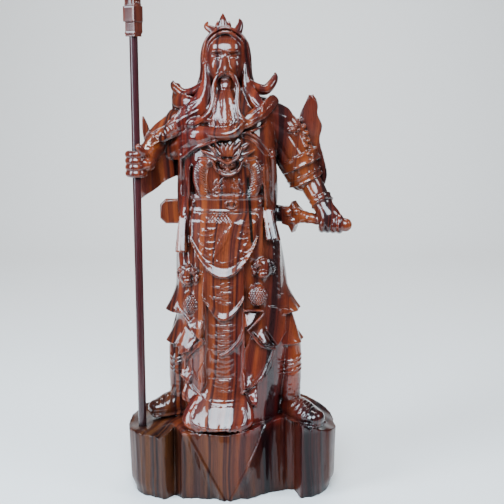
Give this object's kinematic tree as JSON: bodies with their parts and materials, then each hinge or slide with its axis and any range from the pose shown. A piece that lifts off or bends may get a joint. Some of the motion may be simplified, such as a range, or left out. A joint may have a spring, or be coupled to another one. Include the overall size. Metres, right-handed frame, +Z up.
{
  "type": "carved warrior statue",
  "caption": "Carved wooden statue of a bearded, robed warrior on a rock, holding an upright glaive and resting a hand on the sword at the waist.",
  "frame": {"origin": "on the flat underside of the rock, at the middle of its width, below the figure", "axes": "+Z up, the figure faces -Y, its left hand is towards +X"},
  "size_m": [0.2835, 0.1533, 0.7401],
  "materials": {
    "rosewood": "polished lacquer over striped reddish-brown rosewood",
    "shaft_wood": "polished lacquer over plain dark red wood",
    "blade_wood": "polished lacquer over golden-brown rosewood"
  },
  "bodies": {
    "root": {"figure_on_rock": "rosewood", "glaive_shaft": "shaft_wood", "glaive_blade": "blade_wood"}
  },
  "joints": []
}
